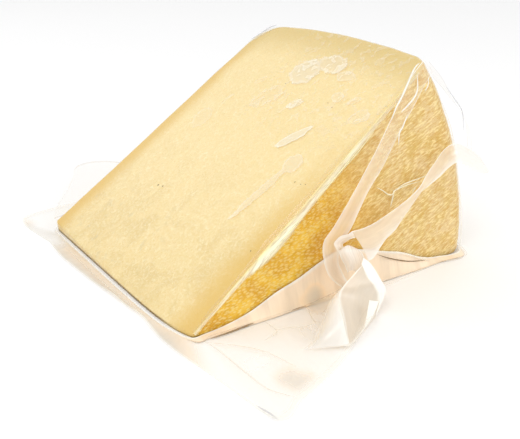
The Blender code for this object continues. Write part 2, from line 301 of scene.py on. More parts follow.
def cheese_finish(s):
    """Paste on the cut faces and golden, cloth-marked rind all round."""
    f = Finish("hard_cheese")
    rind, wall = f.attribute("rind"), f.attribute("tip_wall")
    near, far = f.attribute("from_near"), f.attribute("from_far")
    heel, tip = f.attribute("from_heel"), f.attribute("from_tip")
    height = f.node("ShaderNodeSeparateXYZ", {}, {0: f.where()}).out(2)

    # Paste: cloudy, ochre towards the tip, golden beside the rinds and olive beside the heel
    mottle = f.clouds(0.024, 4.0, 0.62, distortion=0.8)
    wisps = f.clouds(0.0045, 4.0, 0.65, distortion=2.2)
    curd = f.clouds(0.0014, 2.0, 0.7)
    shaken = f.node("ShaderNodeTexNoise", {}, {"Vector": f.where(), "Scale": 1 / 0.0006, "Detail": 2.0})
    crumbs = {0: f.place((1 / 0.0046,) * 3), 1: shaken.out("Color")}
    crumbled = f.node("ShaderNodeVectorMath", {"operation": "ADD"}, crumbs).out()
    crackle = f.cells(crumbled, "DISTANCE_TO_EDGE").step(0.09, 0.0)
    ochre = ((mottle.step(0.40, 0.62) * 0.6 + 0.4) * (tip.step(0.125, 0.035) * 0.8 + 0.06)).limited()
    paste = f.mix(ochre, tuple(s.paste), tuple(s.paste_ochre))
    paste = f.mix(wisps.step(0.50, 0.70) * 0.50, paste, srgb(255, 242, 206))
    paste = f.mix(wisps.step(0.46, 0.28) * 0.30, paste, srgb(228, 200, 134))
    paste = f.mix(crackle * 0.16, paste, srgb(255, 246, 214))
    paste = f.mix(curd.step(0.50, 0.74) * 0.30, paste, srgb(255, 244, 212))
    paste = f.mix(curd.step(0.46, 0.26) * 0.20, paste, srgb(226, 196, 126))
    border = f.clouds(0.040, 3.0, 0.6) * 0.012 - 0.006
    beside_near = (near + border).step(0.024, 0.003) * tip.step(0.170, 0.050)
    paste = f.mix(beside_near * 0.80, paste, tuple(s.paste_deep))
    paste = f.mix((far + border).step(0.021, 0.003) * 0.85, paste, tuple(s.paste_deep))
    paste = f.mix((heel + border).step(0.034, 0.002) * 0.85, paste, tuple(s.paste_olive))
    smudge = f.clouds(0.009, 3.0, 0.6).step(0.57, 0.72) * tip.step(0.085, 0.020) * near.step(0.04, 0.09)
    paste = f.mix(smudge * 0.20, paste, srgb(186, 176, 148))

    # Rind: gold with slanting marks from the mould's cloth, and tan with fine ridges towards the heel. The pale
    # of the marks and ridges is partly their own and partly a painted highlight on the film pressed over them
    weave = f.place((1 / 0.0031, 1 / 0.0031, 1 / 0.0014), (0, math.radians(8), 0))
    marks = f.cells(weave, randomness=0.80).step(0.50, 0.30)
    ridges = f.clouds(1.0, 2.0, 0.6, f.place((1 / 0.0036, 1 / 0.0036, 1 / 0.0010), (0, math.radians(24), 0)))
    patches = f.clouds(0.013, 4.0, 0.6)
    fluff = f.clouds(0.0011, 3.0, 0.7)
    gold = f.mix(patches.step(0.36, 0.66), tuple(s.rind_gold), tuple(s.rind_light))
    tan = f.mix(patches.step(0.32, 0.66), tuple(s.rind_tan), srgb(230, 200, 144))
    body = f.mix((heel + patches * 0.05).step(0.135, 0.070), gold, tan)
    dark = patches.step(0.62, 0.40) * heel.step(0.050, 0.100)
    body = f.mix(dark * 0.55, body, srgb(212, 152, 4))
    ridged = heel.step(0.120, 0.050) * 0.50 + 0.16
    # Pale ridges: partly the rind's own colour, partly a painted highlight
    body = f.mix(ridges.step(0.50, 0.64) * ridged, body, srgb(255, 234, 172))
    body = f.mix(ridges.step(0.48, 0.34) * ridged, body, srgb(212, 158, 52))
    # Pale marks: partly their own colour, partly a painted highlight on the film over them
    amount = marks * (heel.step(0.050, 0.110) * 0.56 + 0.06) * (patches * 0.8 + 0.6)
    body = f.mix(amount.limited(), body, tuple(s.rind_dash))
    body = f.mix(fluff.step(0.56, 0.74) * 0.20, body, srgb(255, 234, 170))

    base = f.mix(rind, paste, body)
    # Painted shade: the lowest 1.4 millimetres of the wedge, and the foot of its tip wall, darkened for the
    # shadow where it stands
    foot = height.step(0.0014, 0.0004) * 0.75
    shade_under_tip = wall * height.step(0.0026, 0.0010) * near.step(0.006, 0.030)
    base = f.mix(foot.most(shade_under_tip), base, tuple(s.foot_shade))
    marked = marks * 0.6 * heel.step(0.030, 0.110) + ridges * 0.7 + fluff * 0.4 - 0.70
    relief = f.bump(marked * rind, 0.0006, 0.6)
    paste_relief = (curd - 0.5) * (1.0 - rind * 0.6) + (wisps - 0.5) * 0.8 * (1.0 - rind)
    grain = f.bump(paste_relief, 0.0003, 0.5, relief)
    shader = f.node("ShaderNodeBsdfPrincipled", {}, {
        "Base Color": base, "Roughness": 0.52 - rind * 0.10, "Normal": grain, "Specular IOR Level": 0.25,
        "Subsurface Weight": 0.06, "Subsurface Radius": (0.004, 0.0025, 0.001), "Subsurface Scale": 1.0,
    }).out()
    return f.surface(shader)


def film_finish(
    name, tones, edge_colour, gloss, crinkle, edge_haze, streaky=(0.75, 1.20), mirror=0.06
):
    """Clear film: milky where its haze says, in one of three tones, pleated, and brighter along its edges.

    streaky says what the haze is multiplied by between the pleats and on them.
    """
    f = Finish(name)
    haze, edge, tone = f.attribute("haze"), f.attribute("edge"), f.attribute("tone")
    pleats = f.node("ShaderNodeCombineXYZ", {}, {0: f.attribute("pleat_x"), 1: f.attribute("pleat_y")}).out()
    streaks = f.clouds(1.0, 3.0, 0.6, pleats, distortion=0.3)
    crumple = f.clouds(0.008, 3.0, 0.5, distortion=0.8)
    bent = f.bump(streaks + crumple * 0.7, 0.0008, crinkle)
    body = f.mix((tone * 2.0).limited(), tones[0], tones[1])
    body = f.mix((tone * 2.0 - 1.0).limited(), body, tones[2])
    body = f.mix(edge, body, edge_colour)
    milk = f.solid(body, 0.35, bent)
    least, most = streaky
    amount = (haze * (streaks.step(0.32, 0.66) * (most - least) + least)).most(edge * edge_haze)
    return f.milky(amount, f.film(gloss, bent, mirror), milk)


def skin_finish(name, film):
    """Film that clings to the cheese: clear, with pale blisters where it doesn't touch, painted highlights on
    their rims and painted reflections in pale streaks along the way the film is drawn.
    """
    f = Finish(name)
    pale, inside, face = f.attribute("haze"), f.attribute("inside"), f.attribute("loose")
    frayed = inside + (f.clouds(0.0060, 2.0, 0.5, distortion=0.4) - 0.5) * 0.70
    full = frayed.step(0.0, 0.16)
    rim = full * frayed.step(0.34, 0.16)
    spots = f.clouds(0.0062, 2.0, 0.55, distortion=0.5)
    spot = spots.step(0.560, 0.600) * face
    spot_highlight_rim = spot * spots.step(0.665, 0.635)
    drawn = f.node("ShaderNodeCombineXYZ", {}, {0: f.attribute("pleat_x"), 1: f.attribute("pleat_y")}).out()
    lines = f.clouds(1.0, 3.0, 0.6, drawn, distortion=0.4)
    # The brighter rims of the blisters and spots are painted highlights
    amount = pale * (full * 1.45 + rim * 0.20) + spot * 0.16 + spot_highlight_rim * 0.04 + 0.015
    # Pale streaks along the drawn film: painted reflections of its fine wrinkles
    amount = amount + lines.step(0.57, 0.70) * face * 0.05
    bent = f.bump(full * 0.1 + f.clouds(0.010, 2.0) * 0.6, 0.0008, 0.20)
    # Rims tinted towards the film's bright colour: painted highlight
    body = f.mix(rim.most(spot_highlight_rim) * 0.5, srgb(255, 246, 216), tuple(film.bright))
    return f.milky(amount, f.film(0.30, bent, 0.014), f.solid(body, 0.35, bent))


def bead_finish(name, tone, haze):
    """A crease: film seen edge on, so it shows more than the film beside it. Made dark, it paints shade along
    the wedge's foot.
    """
    f = Finish(name)
    amount = (f.clouds(0.0035, 3.0).step(0.30, 0.62) * 0.3 + 0.7) * haze
    return f.milky(amount, f.film(0.12, mirror=0.01), f.solid(tone, 0.15))


def plain_finish(name, base, roughness):
    """One colour, broken up by fine noise."""
    f = Finish(name)
    tone = f.mix(f.clouds(0.002), base, tuple(min(1.0, c * 1.12) for c in base))
    return f.surface(f.solid(tone, roughness))


# Mesh helpers


def curve_through(points, count, closed=False):
    """count points along a smooth (Catmull-Rom) curve through the given ones."""
    points = np.asarray(points, float)
    spans = len(points) if closed else len(points) - 1
    places = np.linspace(0.0, spans, count, endpoint=not closed)
    starts = np.minimum(places.astype(int), spans - 1)
    t = (places - starts)[:, None]
    if closed:
        before, a, b, after = (points[(starts + i) % len(points)] for i in (-1, 0, 1, 2))
    else:
        padded = np.vstack([2 * points[0] - points[1], points, 2 * points[-1] - points[-2]])
        before, a, b, after = (padded[starts + i] for i in (0, 1, 2, 3))
    return 0.5 * (2 * a + (b - before) * t + (2 * before - 5 * a + 4 * b - after) * t**2
                  + (3 * a - before - 3 * b + after) * t**3)


def sheet_faces(rows, columns, closed=False):
    r, c = np.meshgrid(np.arange(rows - 1), np.arange(columns if closed else columns - 1), indexing="ij")
    d = (c + 1) % columns
    corners = [r * columns + c, r * columns + d, (r + 1) * columns + d, (r + 1) * columns + c]
    return np.stack(corners, -1).reshape(-1, 4)


def face_normals(points, faces):
    across = np.cross(points[faces[:, 2]] - points[faces[:, 0]], points[faces[:, 3]] - points[faces[:, 1]])
    return across / np.maximum(np.linalg.norm(across, axis=1), 1e-12)[:, None]


def normals_of(points, faces):
    across = np.cross(points[faces[:, 2]] - points[faces[:, 0]], points[faces[:, 3]] - points[faces[:, 1]])
    summed = np.zeros_like(points)
    for corner in range(4):
        np.add.at(summed, faces[:, corner], across)
    return summed / np.maximum(np.linalg.norm(summed, axis=1), 1e-12)[:, None]


def soften_edges(points, faces, sharp_angle, passes):
    """Rounds the sharp edges of a mesh by moving their vertices together. An open rim stays."""
    flat = face_normals(points, faces)
    pairs = np.sort(np.stack([faces, np.roll(faces, -1, axis=1)], -1).reshape(-1, 2), axis=1)
    edges, which, uses = np.unique(pairs, axis=0, return_inverse=True, return_counts=True)
    order = np.argsort(which.ravel(), kind="stable")
    starts = np.concatenate([[0], np.cumsum(uses)[:-1]])
    shared = uses == 2
    first = order[starts[shared]] // 4
    second = order[starts[shared] + 1] // 4
    sharp = np.einsum("ij,ij->i", flat[first], flat[second]) < math.cos(sharp_angle)
    chosen = np.zeros(len(points), bool)
    chosen[edges[shared][sharp].ravel()] = True
    chosen[edges[chosen[edges].any(axis=1)].ravel()] = True
    chosen[edges[~shared].ravel()] = False
    for _ in range(passes):
        total = np.zeros_like(points)
        count = np.full(len(points), 1e-9)
        for a, b in ((0, 1), (1, 0)):
            np.add.at(total, edges[:, a], points[edges[:, b]])
            np.add.at(count, edges[:, a], 1)
        points = np.where(chosen[:, None], 0.5 * (points + total / count[:, None]), points)
    return points


def field(points, size, shift=0.0):
    """Smooth noise, about -1 to 1, at each point, with patches about size metres across."""
    scale = 1.0 / size
    away = Vector((shift, 2.3 * shift, 5.1 * shift))
    return np.array([noise.noise(Vector(p) * scale + away) for p in points])


def smoothstep(start, end, value):
    t = np.clip((value - start) / (end - start), 0.0, 1.0)
    return t * t * (3 - 2 * t)


def new_object(name, points, edges, faces):
    mesh = bpy.data.meshes.new(name)
    mesh.from_pydata((np.asarray(points, float) + NEAR_CORNER).tolist(), edges, faces)
    made = bpy.data.objects.new(name, mesh)
    bpy.context.scene.collection.objects.link(made)
    return made


def label_points(obj, **attributes):
    """Gives each vertex of an object its value, or vector, of each named attribute."""
    for name, values in attributes.items():
        values = np.asarray(values, np.float32)
        vector = values.ndim == 2
        layer = obj.data.attributes.new(name, "FLOAT_VECTOR" if vector else "FLOAT", "POINT")
        layer.data.foreach_set("vector" if vector else "value", values.ravel())


def new_piece(name, points, faces, material, slot, **attributes):
    """A smooth piece from points given from the near corner."""
    made = new_object(name, points, [], faces.tolist())
    label_points(made, **attributes)
    made.data.materials.append(material)
    made.data.shade_smooth()
    return keep(made)


def keep(piece):
    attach(piece, "root")
    return piece


# Geometry Nodes


class Tree:
    """A Geometry Nodes tree with named inputs, built node by node."""

    def __init__(self, name, **inputs):
        self.group = bpy.data.node_groups.new(name, "GeometryNodeTree")
        face = self.group.interface
        face.new_socket("Geometry", in_out="INPUT", socket_type="NodeSocketGeometry")
        made = face.new_socket("material", in_out="INPUT", socket_type="NodeSocketMaterial")
        self.names = {"material": made.identifier}
        for label, default in inputs.items():
            kind = "NodeSocketInt" if isinstance(default, int) else "NodeSocketFloat"
            made = face.new_socket(label, in_out="INPUT", socket_type=kind)
            made.default_value = default
            self.names[label] = made.identifier
        face.new_socket("Geometry", in_out="OUTPUT", socket_type="NodeSocketGeometry")
        self.start = self.group.nodes.new("NodeGroupInput")
        self.end = self.group.nodes.new("NodeGroupOutput")

    def node(self, kind, settings=None, values=None):
        made = self.group.nodes.new(kind)
        for name, value in (settings or {}).items():
            setattr(made, name, value)
        for name, value in (values or {}).items():
            if isinstance(value, bpy.types.NodeSocket):
                self.group.links.new(value, made.inputs[name])
            else:
                made.inputs[name].default_value = value
        return made

    def given(self, label):
        return self.start.outputs[label]

    def named(self, name, kind="FLOAT"):
        return self.node("GeometryNodeInputNamedAttribute", {"data_type": kind}, {"Name": name}).outputs[0]

    def finish(self, geometry):
        whole = self.node("GeometryNodeRealizeInstances", {}, {0: geometry}).outputs[0]
        dressed = self.node("GeometryNodeSetMaterial", {}, {0: whole, "Material": self.given("material")})
        self.group.links.new(dressed.outputs[0], self.end.inputs[0])
        return self

    def run(self, obj, slot, **values):
        """Turns an object into the plain mesh that the tree makes from it."""
        live = obj.modifiers.new(self.group.name, "NODES")
        live.node_group = self.group
        for label, value in values.items():
            live[self.names[label]] = value
        graph = bpy.context.evaluated_depsgraph_get()
        mesh = bpy.data.meshes.new_from_object(obj.evaluated_get(graph))
        obj.modifiers.clear()
        obj.data = mesh
        mesh.shade_smooth()
        return keep(obj)


def grain_tree():
    """A small rounded grain on each point, sized and turned by the point's own values."""
    tree = Tree("grains", sides=6, rings=4)
    ball = tree.node("GeometryNodeMeshUVSphere", {}, {
        "Segments": tree.given("sides"), "Rings": tree.given("rings"), "Radius": 1.0,
    })
    put = tree.node("GeometryNodeInstanceOnPoints", {}, {
        "Points": tree.given("Geometry"), "Instance": ball.outputs[0],
        "Rotation": tree.named("turn", "FLOAT_VECTOR"), "Scale": tree.named("size", "FLOAT_VECTOR"),
    })
    return tree.finish(put.outputs[0])


def crease_tree():
    """A tapered round bead of film along each line of points."""
    tree = Tree("film creases", spacing=0.0012, sides=8)
    lines = tree.node("GeometryNodeMeshToCurve", {}, {0: tree.given("Geometry")})
    even = tree.node("GeometryNodeResampleCurve", {"mode": "LENGTH"},
                     {0: lines.outputs[0], "Length": tree.given("spacing")})
    ring = tree.node("GeometryNodeCurvePrimitiveCircle", {}, {
        "Resolution": tree.given("sides"), "Radius": 1.0,
    })
    swept = tree.node("GeometryNodeCurveToMesh", {}, {
        0: even.outputs[0], 1: ring.outputs[0], "Scale": tree.named("thick"), "Fill Caps": True,
    })
    return tree.finish(swept.outputs[0])


# The wedge's form


def heel_radius(s, level):
    return s.wheel_radius + HEEL_BULGE * (1 - (2 * level - 1) ** 2)


def wheel_height(s, u):
    return s.height_at_tip + (s.height_at_heel - s.height_at_tip) * u + s.far_bulge * 4 * u * (1 - u)


def tip_lean(s, along):
    return s.tip_overhang * (1 - np.exp(-along / s.tip_curve)) + s.tip_slant * along


def wedge_points(s, u, level, set_back, turn):
    """Points of the wedge: u from tip to heel, level from rind to rind, turn from cut face to cut face."""
    radius = s.tip_round + (heel_radius(s, level) - set_back - s.tip_round) * u
    along = wheel_height(s, u) * level
    tip_rise = (s.tip_near + (s.tip_far - s.tip_near) * level**2) * (1 - u) ** 2
    x = radius * np.cos(s.angle * turn) - tip_lean(s, along) * (1 - u)
    z = radius * np.sin(s.angle * turn) + tip_rise * turn
    return np.stack(np.broadcast_arrays(x, along, z), -1)


def rim_levels(s, radius, steps):
    a = np.linspace(0.0, math.pi / 2, steps + 1)
    return radius * (1 - np.cos(a)) / s.height_at_heel, radius * (1 - np.sin(a))


def wedge_shell(s, across_steps, along_steps, turn_steps, rim_steps, underside=True):
    """The wedge's surface as a grid of faces, with the place of each vertex on the wedge."""
    near, near_back = rim_levels(s, s.near_rim, rim_steps)
    far, far_back = rim_levels(s, s.far_rim, rim_steps)
    straight = np.linspace(near[-1], 1 - far[-1], along_steps + 1)[1:-1]
    levels = np.concatenate([near, straight, 1 - far[::-1]])
    backs = np.concatenate([near_back, np.zeros(len(straight)), far_back[::-1]])
    last_i, last_j = across_steps, len(levels) - 1
    width = last_j + 1
    i, j = np.meshgrid(np.arange(last_i + 1), np.arange(width), indexing="ij")
    cap = np.stack([i.ravel(), j.ravel()], -1)
    rim = [(a, 0) for a in range(last_i)] + [(last_i, b) for b in range(last_j)]
    rim += [(a, last_j) for a in range(last_i, 0, -1)] + [(0, b) for b in range(last_j, 0, -1)]
    rim = np.array(rim)
    size, loop = len(cap), len(rim)
    rings = [rim[:, 0] * width + rim[:, 1]]
    rings += [2 * size + loop * k + np.arange(loop) for k in range(turn_steps - 1)]
    rings += [size + rings[0]]
    cap_faces = sheet_faces(last_i + 1, width)
    faces = [cap_faces] if underside else []
    faces.append(cap_faces[:, ::-1] + size)
    for low, high in zip(rings, rings[1:]):
        faces.append(np.stack([low, np.roll(low, -1), np.roll(high, -1), high], -1))
    faces = np.vstack(faces)
    where = np.vstack([cap, cap] + [rim] * (turn_steps - 1))
    turn = np.concatenate([np.zeros(size), np.ones(size)]
                          + [np.full(loop, (k + 1) / turn_steps) for k in range(turn_steps - 1)])
    used, faces = np.unique(faces, return_inverse=True)
    where, turn, faces = where[used], turn[used], faces.reshape(-1, 4)
    u, level = where[:, 0] / last_i, levels[where[:, 1]]
    points = wedge_points(s, u, level, backs[where[:, 1]], turn)
    return points, faces, u, level, turn


def on_cut_face(s, radius, along):
    """A point of the upper cut face, from (radius, along) in millimetres."""
    level = along * MM / s.height_at_heel
    u = (radius * MM - s.tip_round) / (heel_radius(s, level) - s.tip_round)
    return wedge_points(s, u, along * MM / wheel_height(s, u), 0.0, 1.0)


def turned_on_face(s, turn):
    """Euler angles that lay a shape on the upper cut face, turned about the face's normal."""
    outward = Vector((-math.sin(s.angle), 0.0, math.cos(s.angle)))
    uphill = Vector((math.cos(s.angle), 0.0, math.sin(s.angle)))
    first = uphill * math.cos(turn) + Vector((0, 1, 0)) * math.sin(turn)
    return tuple(Matrix((first, outward.cross(first), outward)).transposed().to_euler())


def on_face_axes(s, points, patch):
    """How far points lie from the middle of a patch of the cut face: 1 is its edge."""
    radius = points[:, 0] * math.cos(s.angle) + points[:, 2] * math.sin(s.angle)
    r, along, long, wide, turn = patch
    a = math.radians(turn)
    dx, dy = radius - r * MM, points[:, 1] - along * MM
    return np.hypot((dx * math.cos(a) + dy * math.sin(a)) / (long * MM),
                    (dy * math.cos(a) - dx * math.sin(a)) / (wide * MM))


class CHEESE_OT_wedge(bpy.types.Operator):
    """Makes the wedge of cheese, with the grain of its cut faces and the relief of its rind"""

    bl_idname = "cheese.wedge"
    bl_label = "Cheese wedge"

    def execute(self, context):
        s = context.scene.wedge_settings
        points, faces, u, level, turn = wedge_shell(s, *CHEESE_GRID)
        points = soften_edges(points, faces, SHARP, 5)
        side = (turn > 0) & (turn < 1)
        at_tip = u < 0.004
        rind = side & ~at_tip
        lift = s.face_wave * field(points, 0.034, 3.0) * (turn == 1)
        lift += s.grain * field(points, 0.0021, 5.0) * (turn > 0)
        lift += s.rind_relief * field(points * (1.0, 1.0, 2.4), 0.006, 9.0) * rind
        lift += 0.0006 * field(points, 0.022, 1.0) * rind * smoothstep(0.0, 0.2, turn)
        points = points + normals_of(points, faces) * lift[:, None]
        points[:, 2] = np.maximum(points[:, 2], 0.0)
        radius = s.tip_round + (heel_radius(s, level) - s.tip_round) * u
        piece = new_piece(
            "cheese", points, faces, cheese_finish(s), "hard_cheese", rind=rind, tip_wall=side & at_tip,
            from_near=level * wheel_height(s, u), from_far=(1 - level) * wheel_height(s, u),
            from_heel=heel_radius(s, level) - radius, from_tip=radius,
        )
        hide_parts("cheese_wedge")
        return {"FINISHED"}


# Dark specks in the cut face: radius, along
SPECKS = ((166, 95), (162, 45), (160, 39), (64, 122), (65, 117), (108, 10), (59, 8), (107, 18), (107, 13))


class CHEESE_OT_crystals(bpy.types.Operator):
    """Scatters pale crystals over the upper cut face, and puts its few dark specks in place"""

    bl_idname = "cheese.crystals"
    bl_label = "Crystals and specks"

    def execute(self, context):
        s, film = context.scene.wedge_settings, context.scene.film_settings
        chance = random.Random(5)
        pale = [(chance.uniform(15, 200), chance.uniform(22, 162), chance.uniform(0.12, 0.30))
                for _ in range(film.crystals)]
        dark = [(r, y, chance.uniform(0.26, 0.42)) for r, y in SPECKS]
        tree = grain_tree()
        for name, grains, finish in (
            ("crystals", pale, plain_finish("crystal", srgb(252, 236, 192), 0.45)),
            ("specks", dark, plain_finish("speck", srgb(128, 104, 58), 0.6)),
        ):
            cloud = new_object(name, [on_cut_face(s, r, y) for r, y, _ in grains], [], [])
            sizes = [(g * MM * chance.uniform(1.0, 2.2), g * MM, g * MM * 0.7) for _, _, g in grains]
            turns = [turned_on_face(s, chance.uniform(0, math.pi)) for _ in grains]
            label_points(cloud, size=sizes, turn=turns)
            tree.run(cloud, "hard_cheese", material=finish)
        return {"FINISHED"}


# Pockets of air between the upper cut face and its film: radius, along, half length, half width, turn in
# degrees, height, haze
POCKETS = (
    (177, 87, 12.0, 14.0, 13, 0.50, 0.34),
    (188, 69, 14.7, 8.0, -91, 0.60, 0.28),
    (182, 49, 8.6, 4.8, -88, 0.40, 0.22),
    (198, 33, 4.0, 3.3, -78, 0.30, 0.12),
    (158, 13, 7.4, 5.8, -48, 0.60, 0.16),
    (166, 41, 5.9, 4.0, -99, 0.40, 0.20),
    (167, 26, 4.6, 3.0, -44, 0.40, 0.18),
    (152, 70, 7.2, 3.6, -52, 0.40, 0.28),
    (130, 47, 14.0, 3.9, -34, 0.40, 0.42),
    (114, 30, 7.6, 7.0, -12, 0.30, 0.26),
    (90, 35, 26.0, 3.4, -10, 0.30, 0.26),
    (116, 143, 9.0, 11.0, -51, 0.20, 0.12),
    (150, 100, 14.0, 9.0, -40, 0.20, 0.12),
    (160, 121, 5.8, 2.8, -48, 0.30, 0.12),
    (137, 135, 6.5, 2.4, -15, 0.30, 0.12),
)


class CHEESE_OT_skin(bpy.types.Operator):
    """Makes the film that clings to the cheese, with its pockets of air"""

    bl_idname = "cheese.skin"
    bl_label = "Tight skin of film"

    def execute(self, context):
        s, film = context.scene.wedge_settings, context.scene.film_settings
        points, faces, u, level, turn = wedge_shell(s, *SKIN_GRID, underside=False)
        points = soften_edges(points, faces, SHARP, 8)
        upper = turn == 1
        radius = points[:, 0] * math.cos(s.angle) + points[:, 2] * math.sin(s.angle)
        pulled = radius * math.cos(PULL) + points[:, 1] * math.sin(PULL)
        across = points[:, 1] * math.cos(PULL) - radius * math.sin(PULL)
        lines = np.stack([pulled / 0.020, across / 0.0034, turn], -1)
        lift = film.skin_gap + 0.00018 * field(points, 0.018, 12.0) + 0.00012 * field(lines, 1.0, 8.0) * upper
        inside, haze = np.full(len(points), -1.0), np.zeros(len(points))
        for r, y, long, wide, slant, high, milk in POCKETS:
            away = on_face_axes(s, points, (r, y, long, wide, slant))
            lift += high * MM * upper * smoothstep(1.0, 0.6, away)
            haze = np.where(1 - away > inside, milk, haze)
            inside = np.maximum(inside, 1 - away)
        loose = smoothstep(0.115, 0.150, radius) * smoothstep(0.130, 0.100, points[:, 1]) * upper
        points = points + normals_of(points, faces) * np.maximum(lift, 0.0002)[:, None]
        points[:, 2] = np.maximum(points[:, 2], film.floor_gap)
        new_piece(
            "film_skin", points, faces, skin_finish("film_skin", film), "clear_film", haze=haze,
            inside=np.where(upper, inside, -1.0), loose=loose, pleat_x=lines[:, 0], pleat_y=lines[:, 1],
        )
        return {"FINISHED"}


# Creases of film: thickness, then points
# Beads in the gleam colour along the near cut edge: creased film, partly white in itself and partly a painted
# highlight
EDGE_CREASES = (
    (0.38, ((44, -1.6, 34), (54, -2.0, 42), (62, -2.2, 49), (70, -2.0, 56))),
    (0.30, ((80, -1.8, 65), (90, -2.0, 73), (98, -2.0, 80), (110, -1.6, 90))),
    (0.26, ((96, -1.8, 77), (108, -1.8, 87), (120, -1.4, 98))),
)
RIND_CREASES = (
    (0.52, ((124, -2, 63), (129, -2, 60), (133, -2, 57), (137, -2, 56), (138, -2, 58), (142, -2, 59),
            (150, -2, 60), (160, -2, 60))),
    (0.50, ((138, -2, 57), (137, -2, 53), (136, -2, 48))),
    (0.42, ((140, -2, 59), (146, -2, 61), (155, -2, 62), (164, -2, 63))),
    (0.30, ((153, -2, 53), (155, -2, 57), (156, -2, 55))),
)
RIM_CREASES = (
    (0.40, ((171, -2, 108), (180, -2, 93), (187, -2, 75), (193, -2, 54), (199, -2, 32), (202, -2, 13),
            (202, -2, 4))),
    (0.50, ((144.8, 173, 122.5), (150.9, 167, 127.6), (156.3, 161, 132.1), (159.3, 154, 134.7))),
    (0.45, ((130, -3, 20), (145, -3, 16), (160, -3, 9), (174, -3, 2))),
)
# Bright lines on the corner ribbon's upper part: partly its creased film, partly a painted highlight
STREAKS = (
    (0.55, ((143, -9, 135), (140, -9, 133), (137, -9, 128), (132, -9, 118), (128, -9, 112), (125, -9, 105))),
    (0.50, ((141, -10, 129), (142, -10, 120), (139, -10, 115), (134, -10, 111), (131, -10, 109))),
    (0.35, ((155, -5, 125), (155, -5, 120), (153, -5, 117))),
    (0.45, ((136, -10, 107), (133, -10, 100), (131, -10, 97), (131, -10, 90))),
)
FLOOR_CREASES = (
    (0.50, ((-21, 154, 2), (-20, 129, 2), (-19, 103, 2), (-17, 74, 2), (-15, 54, 2), (-13, 34, 2))),
    (0.34, ((4, -8, 1), (6, -18, 1.6), (8, -45, 1.6), (10, -61, 1.6), (18, -74, 1.4))),
    (0.34, ((4, -8, 1), (15, -20, 1.8), (22, -28, 1.8), (27, -36, 1.6), (32, -53, 1.5))),
    (0.30, ((74, -5, 2), (68, -15, 2), (65, -24, 2), (69, -26, 2), (82, -17, 3), (94, -9, 6))),
    (0.28, ((41, -7, 2), (42, -13, 2), (42, -20, 2), (38, -23, 2), (31, -25, 2))),
    (0.28, ((42, -19, 2), (51, -22, 2), (57, -25, 2), (63, -25, 2))),
)
# Dark beads that paint shade, not film: the shadow along the near rind's foot on both sides of the knot, and
# beneath a fold of film low on the near rind
SHADE_CREASES = (
    (0.55, ((9, -6.5, 0.8), (21, -6.3, 0.8), (42, -5, 0.8), (78, -5, 0.8), (99, -4, 0.8))),
    (0.34, ((161, -4, 0.8), (176, -4.5, 0.8), (195, -2, 0.8), (203, -0.8, 0.8))),
    (0.34, ((127, -3, 19), (139, -3, 13), (155, -3, 7), (170, -3, 4))),
)
END_CREASES = (
    (0.42, ((-1, -68, 1), (1, -76, 1), (2, -82, 1))),
    (0.40, ((146.3, 175, 123.6), (153.2, 169, 129.4), (157.8, 165, 133.2), (160.1, 160, 135.1))),
    (0.30, ((168, -6, 119), (178, -6, 109), (185, -6, 101), (188, -6, 89))),
)


def make_creases(name, creases, material):
    points, edges, thick = [], [], []
    for width, line in creases:
        smooth = curve_through(line, 6 * len(line)) * MM
        start = len(points)
        points += list(smooth)
        edges += [(start + i, start + i + 1) for i in range(len(smooth) - 1)]
        t = np.linspace(0.0, 1.0, len(smooth))
        thick += list(width * MM * (0.12 + 0.88 * np.sin(math.pi * t) ** 0.6))
    lines = new_object(name, points, edges, [])
    label_points(lines, thick=thick)
    return crease_tree().run(lines, "clear_film", material=material)


class CHEESE_OT_creases(bpy.types.Operator):
    """Makes the sharp creases of the film on the cheese and on the floor, and dark beads of painted shade along
    the wedge's foot
    """

    bl_idname = "cheese.creases"
    bl_label = "Film creases"

    def execute(self, context):
        film = context.scene.film_settings
        for name, creases, tone, haze in (
            # edge_creases: partly creased film, partly a painted highlight along the near cut edge
            ("edge_creases", EDGE_CREASES, tuple(film.gleam), 0.80),
            ("rind_creases", RIND_CREASES, srgb(255, 246, 214), 0.92),
            ("rim_creases", RIM_CREASES, tuple(film.bright), 0.42),
            # ribbon_streaks: partly creased film, partly a painted highlight
            ("ribbon_streaks", STREAKS, tuple(film.bright), 0.80),
            ("floor_creases", FLOOR_CREASES, srgb(246, 234, 212), 0.24),
            # foot_shade: dark beads of painted shade along the wedge's foot
            ("foot_shade", SHADE_CREASES, srgb(132, 98, 44), 0.85),
            ("end_creases", END_CREASES, srgb(206, 208, 216), 0.45),
        ):
            make_creases(name, creases, bead_finish(name, tone, haze))
        return {"FINISHED"}


# Loose film: guide curves in millimetres from the near corner. Haze is how milky the film is. Tone is 0 for
# white, 0.5 for beige and 1 for grey, the painted shade of film turned from the light.

